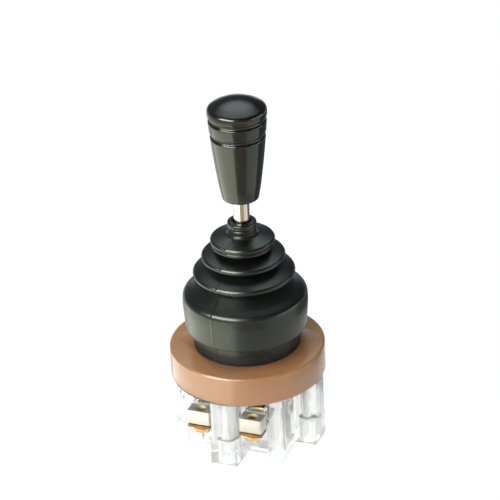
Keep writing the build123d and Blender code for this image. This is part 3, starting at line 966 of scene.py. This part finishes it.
@dataclass
class Terminals(Assembly):
    """Blocks, strips, clamp screws and base screws; sizes in millimetres."""

    block_depth: float = 4.9
    screw_segments: int = 48
    slot_width: float = 0.9
    slot_depth: float = 0.9
    slot_length: float = 2.2
    clamp_reach: float = 3.1
    clamp_shank: float = 1.75
    base_reach: float = 2.7
    base_shank: float = 1.5
    base_head: float = 2.1

    def build(self) -> None:
        """Make and dress the metal pieces of the base."""
        for name in self.nodes:
            if name.startswith("terminal_block"):
                self.soften(name, "nickel_plate", 0.3)
            elif name.startswith("fixed_contact_") and name != "fixed_contact_tips":
                self.soften(name, "brass", 0.12)
        # the washers wear brass darkened as painted shade under the blocks
        self.soften("terminal_washers", "brass_screws", 0.2, "tarnished_brass")
        self.build_clamp_screws()
        self.build_base_screws()

    def build_clamp_screws(self) -> None:
        """Brass screws whose heads hang under the terminal blocks."""
        low, high = span("terminal_screws")
        seat, reach, shank = span("terminal_washers")[0], self.clamp_reach, self.clamp_shank
        corners = [(reach - 1.3, low, 0.8), (reach - 0.25, low + 0.9, 1.2), (reach, seat - 0.3, 0.4)]
        corners += [(reach - 0.1, seat, 0.0), (shank, seat, 0.0)]
        corners += [(shank, high - 0.4, 0.15), (shank - 0.4, high, 0.15)]
        places = []
        for block in (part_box(name) for name in self.nodes if name.startswith("terminal_block")):
            outer = max(block[0].y, block[1].y, key=abs)
            middle = (block[0].x + block[1].x) / 2
            places.append((middle, outer - math.copysign(self.block_depth * MM / 2, outer)))
        self.place_screws("terminal_screws", "brass_screws", corners, places)

    def build_base_screws(self) -> None:
        """Zinc-plated screws up the four posts."""
        low, high = span("base_screws")
        seat, reach, shank = low + self.base_head, self.base_reach, self.base_shank
        corners = [(reach - 1.0, low, 0.6), (reach, low + 0.9, 0.8), (reach, seat, 0.0)]
        corners += [(shank, seat, 0.0), (shank, high - 0.6, 0.2), (shank - 0.6, high, 0.2)]
        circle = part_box("base_screws")[1].x - reach * MM
        places = [(circle * math.cos(turn), circle * math.sin(turn)) for turn in even_angles(4)]
        self.place_screws("base_screws", "zinc_screws", corners, places)

    def place_screws(self, node: str, slot: str, corners: Sequence[Corner], places: Sequence[Point]) -> None:
        """Turn a screw, set copies of it at its places and dress them.

        Args:
            node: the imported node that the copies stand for.
            slot: the material slot.
            corners: outline of the screw, from its head up.
            places: X and Y of each screw in metres.
        """
        low, high = corners[0][1], corners[-1][1]
        outline = rounded([(0.0, low, 0.0), *corners, (0.0, high, 0.0)], steps=5)
        screw = lathe(f"{node}_source", outline, even_angles(self.screw_segments))
        self.cut_slot(screw, low, max(corners)[0])
        values = {"Source": screw, "Finish": self.finishes[slot]}
        points = [(x, y, 0.0) for x, y in places]
        piece = self.repeaters.run(f"{node}_set", self.repeaters.copies, values, points)
        bpy.data.objects.remove(screw)
        self.settle(piece, node, slot)

    def cut_slot(self, screw: Object, low: float, reach: float) -> None:
        """Cut a driver slot across the underside of a screw head.

        Args:
            screw: the turned screw.
            low: height of the head's underside in millimetres.
            reach: radius of the head in millimetres.
        """
        shape = bmesh.new()
        sides = (self.slot_width * MM, self.slot_length * reach * MM, 2 * self.slot_depth * MM, 1.0)
        place = Matrix.Translation((0, 0, low * MM)) @ Matrix.Diagonal(sides)
        bmesh.ops.create_cube(shape, size=1.0, matrix=place)
        cutter = close_shape(shape, f"{screw.name}_cutter", sharp_degrees=30.0)
        cut = screw.modifiers.new("driver_slot", "BOOLEAN")
        cut.operation, cut.solver, cut.object = "DIFFERENCE", "EXACT", cutter
        bake_modifiers(screw)
        bpy.data.objects.remove(cutter)


@dataclass
class Springs(Assembly):
    """Centring spring and the two return springs, wound to the lengths of their imported nodes."""

    wire: float = 0.55
    radii: Point = (10.0, 4.2)
    turns: float = 4.0
    return_wire: float = 0.25
    return_radii: Point = (2.2, 2.2)

    def build(self) -> None:
        """Wind and dress all three springs."""
        self.wind("centring_spring", Body.LEVER, self.wire, self.radii)
        movers = {"plunger_spring_front": Body.PLUNGER_FRONT, "plunger_spring_back": Body.PLUNGER_BACK}
        for node, mover in movers.items():
            self.wind(node, mover, self.return_wire, self.return_radii)

    def wind(self, node: str, mover: Body, wire: float, radii: Point) -> None:
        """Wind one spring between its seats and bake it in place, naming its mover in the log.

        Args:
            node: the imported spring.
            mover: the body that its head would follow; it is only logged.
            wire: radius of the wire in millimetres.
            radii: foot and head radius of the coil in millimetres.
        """
        low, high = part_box(node)
        rise = high.z - low.z - 2 * wire * MM
        values = {"Turns": self.turns, "Foot Radius": radii[0] * MM, "Head Radius": radii[1] * MM,
                  "Rise": rise, "Wire Radius": wire * MM, "Finish": self.finishes["spring_steel"]}
        spring = self.repeaters.run(f"{node}_wound", self.repeaters.spring, values)
        across = round((low.y + high.y) / 2, 4)
        spring.data.transform(Matrix.Translation((0, across, low.z + wire * MM)))
        ends = (0, across, low.z), (0, across, high.z)
        self.settle(spring, node, "spring_steel", mover, bend=ends)


# Stage, light and camera


@dataclass(frozen=True)
class SoftLamp:
    """A soft lamp: azimuth off the camera's and elevation in degrees, distance and size in metres."""

    name: str
    azimuth: float
    elevation: float
    away: float
    size: Point
    radiance: float
    tint: Colour = (1.0, 1.0, 1.0)


@dataclass(frozen=True)
class Card:
    """A piece of a ring on the floor: azimuths off the camera's in degrees, radii in metres."""

    name: str
    azimuths: Point
    reach: Point
    colour: Colour
    glow: float = 0.0


@dataclass
class Studio:
    """White sweep, soft lamps and the camera of the reference view."""

    azimuth: float = 22.0
    elevation: float = 28.92
    roll: float = 2.63
    distance: float = 1.0
    focal_pixels: float = 3080.0
    frame_pixels: float = 500.0
    sensor_mm: float = 36.0
    target: tuple[float, float, float] = (0.0, 0.0, 0.061)
    target_pixel: Point = (244.0, 269.9)
    fill_colour: Colour = (0.80, 0.93, 1.0)
    world_bearing: float = -50.0
    world_sides: Point = (0.12, 0.42)
    world_zenith: float = 0.3
    window: float = 2.4
    window_elevation: float = 64.0
    window_edges: Point = (0.8, 1.0)
    base_edges: float = -0.32
    base_backlight: float = 0.36
    floor_half: float = 3.0
    floor_colour: Colour = (0.85, 0.86, 0.86)
    floor_glow: float = 1.06
    floor_share: float = 0.9
    card_lift: float = 0.0005
    card_steps: int = 12
    card_roughness: float = 0.9

    def build(self) -> None:
        """Set the world, floor, lamps, cards, camera and colour management."""
        self.build_world()
        self.build_floor()
        self.build_lamps()
        self.build_cards()
        self.build_camera()
        bpy.context.scene.view_settings.view_transform = "Standard"

    def bearing(self, azimuth: float, elevation: float = 0.0) -> Vector:
        """Unit vector towards a place at an azimuth off the camera's and an elevation, in degrees."""
        turn, lift = math.radians(self.azimuth + azimuth), math.radians(elevation)
        return Vector((math.sin(turn) * math.cos(lift), -math.cos(turn) * math.cos(lift), math.sin(lift)))

    def build_camera(self) -> None:
        """Long lens at the reference azimuth, elevation and roll."""
        back = self.bearing(0.0, self.elevation)
        flat = Vector((0, 0, 1)).cross(back).normalized()
        upright = back.cross(flat)
        tip = math.radians(self.roll)
        right = flat * math.cos(tip) - upright * math.sin(tip)
        up = flat * math.sin(tip) + upright * math.cos(tip)
        place = Vector(self.target) + back * self.distance
        centre = self.frame_pixels / 2
        scale = self.distance / self.focal_pixels
        aim = Vector(self.target) + right * (centre - self.target_pixel[0]) * scale
        aim += up * (self.target_pixel[1] - centre) * scale
        look = (place - aim).normalized()
        side = up.cross(look).normalized()
        data = bpy.data.cameras.new("reference_camera")
        data.sensor_width = self.sensor_mm
        data.lens = self.sensor_mm * self.focal_pixels / self.frame_pixels
        data.clip_start = 0.01
        camera = link("reference_camera", data)
        axes = Matrix((side, look.cross(side), look)).transposed()
        camera.matrix_world = Matrix.Translation(place) @ axes.to_4x4()
        bpy.context.scene.camera = camera

    def build_world(self) -> None:
        """White to the camera and to the clear base, and a graded fill to all other rays."""
        world = bpy.data.worlds.new("studio_world")
        bpy.context.scene.world = world
        world.use_nodes = True
        world.node_tree.nodes.clear()
        sketch = NodeSketch(world.node_tree)
        path = sketch.add("ShaderNodeLightPath").outputs
        through = path["Is Transmission Ray"]
        seen = sketch.math("MAXIMUM", path["Is Camera Ray"], through)
        ray = sketch.add("ShaderNodeTexCoord").outputs["Generated"]
        levels = []
        for towards, limits, ends in (
            (self.bearing(self.world_bearing), (-1.0, 1.0), self.world_sides),
            (Vector((0, 0, 1)), (0.0, 1.0), (1.0, self.world_zenith)),
            (self.bearing(180.0, self.window_elevation), self.window_edges, (0.0, self.window)),
        ):
            cosine = sketch.fill(sketch.add("ShaderNodeVectorMath", operation="DOT_PRODUCT"), ray, towards)
            levels.append(sketch.ramp(cosine.outputs["Value"], limits, ends, Ease.SMOOTH))
        level = sketch.math("MULTIPLY_ADD", *levels)
        fill = sketch.add("ShaderNodeBackground", Color=opaque(self.fill_colour), Strength=level)
        bright = sketch.math("MULTIPLY_ADD", through, self.base_edges, 1.0)
        white = sketch.add("ShaderNodeBackground", Color=(1.0, 1.0, 1.0, 1.0), Strength=bright)
        sketch.add("ShaderNodeOutputWorld", Surface=sketch.mix(seen, fill, white))

    def sheet(self, name: str, corners: Iterable[Sequence[float]]) -> tuple[Object, NodeTree]:
        """Flat stage piece with a material of its own.

        Args:
            name: name of the piece and its material.
            corners: its corners in order.

        Returns:
            The piece and its material's tree.
        """
        places = [tuple(corner) for corner in corners]
        mesh = bpy.data.meshes.new(name)
        mesh.from_pydata(places, [], [tuple(range(len(places)))])
        piece = link(name, mesh)
        material = bpy.data.materials.new(name)
        material.use_nodes = True
        wear(piece, material)
        return piece, material.node_tree

    def build_floor(self) -> None:
        """Wide white floor that keeps only a trace of the shadow."""
        half = self.floor_half
        corners = ((-half, -half, 0.0), (half, -half, 0.0), (half, half, 0.0), (-half, half, 0.0))
        tree = self.sheet("floor", corners)[1]
        tree.nodes.clear()
        sketch = NodeSketch(tree)
        path = sketch.add("ShaderNodeLightPath").outputs
        through = path["Is Transmission Ray"]
        seen = sketch.math("MAXIMUM", path["Is Camera Ray"], through)
        seen = sketch.math("MAXIMUM", seen, path["Is Glossy Ray"])
        paper = sketch.add("ShaderNodeBsdfDiffuse", Color=opaque(self.floor_colour))
        bright = sketch.math("MULTIPLY_ADD", through, self.base_backlight, self.floor_glow)
        glow = sketch.add("ShaderNodeEmission", Strength=bright)
        share = sketch.math("MULTIPLY", seen, self.floor_share)
        sketch.add("ShaderNodeOutputMaterial", Surface=sketch.mix(share, paper, glow))

    def lamp(self, soft: SoftLamp) -> Object:
        """Rectangular soft lamp aimed at the middle of the switch.

        Args:
            soft: its place, size and brightness.

        Returns:
            The lamp.
        """
        data = bpy.data.lights.new(soft.name, "AREA")
        data.shape = "RECTANGLE"
        data.size, data.size_y = soft.size
        data.energy = soft.radiance * math.pi * soft.size[0] * soft.size[1]
        data.color = soft.tint
        lamp = link(soft.name, data)
        towards = self.bearing(soft.azimuth, soft.elevation)
        lamp.location = Vector(self.target) + towards * soft.away
        lamp.rotation_euler = towards.to_track_quat("Z", "Y").to_euler()
        lamp.visible_camera = lamp.visible_transmission = False
        return lamp

    def build_lamps(self) -> None:
        """Key and front lamps for matt surfaces, and three lamps that only mirrors see."""
        for soft in (SoftLamp("key_lamp", -46.0, 40.0, 0.8, (0.8, 0.28), 5.7),
                     SoftLamp("front_lamp", -10.0, 26.0, 0.9, (0.5, 0.2), 9.0)):
            self.lamp(soft).visible_glossy = False
        for soft in (SoftLamp("gleam_lamp", -46.0, 30.0, 0.8, (0.8, 0.28), 7.0),
                     SoftLamp("edge_lamp", -44.0, 40.0, 0.8, (0.6, 0.3), 12.0),
                     SoftLamp("side_lamp", 77.0, 12.0, 0.9, (0.9, 0.25), 3.1, (0.92, 0.97, 1.0))):
            self.lamp(soft).visible_diffuse = False

    def build_cards(self) -> None:
        """Lit table at the left and darker cards on the floor, which only mirrors see; three of them are
        painted shade.
        """
        for card in (Card("lit_table", (-128.0, -20.0), (0.05, 0.2), (1.0, 1.0, 0.86), 1.68),
                     Card("brown_board", (-22.0, 36.0), (0.128, 0.24), (0.56, 0.37, 0.24)),
                     # painted shade on the floor, seen only in reflections: in front of the switch, the
                     # switch's shadow close by, and the floor to its right
                     Card("dark_board", (-20.0, 34.0), (0.09, 0.128), (0.45, 0.45, 0.40)),
                     Card("dark_strip", (0.0, 190.0), (0.082, 0.095), (0.30, 0.30, 0.28)),
                     Card("dark_side", (95.0, 200.0), (0.09, 0.5), (0.18, 0.18, 0.18))):
            self.build_card(card)

    def build_card(self, card: Card) -> None:
        """Matt card just above the floor.

        Args:
            card: its place, colour and glow.
        """
        first, last = card.azimuths
        turns = [first + (last - first) * step / self.card_steps for step in range(self.card_steps + 1)]
        lift = Vector((0, 0, self.card_lift))
        corners = [self.bearing(turn) * card.reach[0] + lift for turn in turns]
        corners += [self.bearing(turn) * card.reach[1] + lift for turn in reversed(turns)]
        piece, tree = self.sheet(card.name, corners)
        piece.visible_camera = piece.visible_transmission = False
        piece.visible_diffuse = piece.visible_shadow = False
        colour = opaque(card.colour)
        values = {"Base Color": colour, "Roughness": self.card_roughness, "Emission Color": colour,
                  "Emission Strength": card.glow}
        for label, value in values.items():
            tree.nodes["Principled BSDF"].inputs[label].default_value = value


def main() -> None:
    """Load the frame, build the stage and every sub-assembly in order, and dress the nodes that no piece
    stands for.
    """
    logging.basicConfig(level=logging.INFO, format="%(name)s: %(message)s")
    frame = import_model()
    groups, repeaters = EffectGroups(), Repeaters()
    finishes = {finish.name: finish.make(groups) for finish in FINISHES}
    Studio().build()
    for assembly in (Lever, Boot, Housing, Terminals, Springs):
        assembly(frame["nodes"], finishes, repeaters).build()
    for entry in frame["record"]["subparts"]:
        node = frame["nodes"][entry["node"]]
        if not node.hide_render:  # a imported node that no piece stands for
            wear(node, finishes[entry["material_slot"]])


if __name__ == "__main__":
    main()
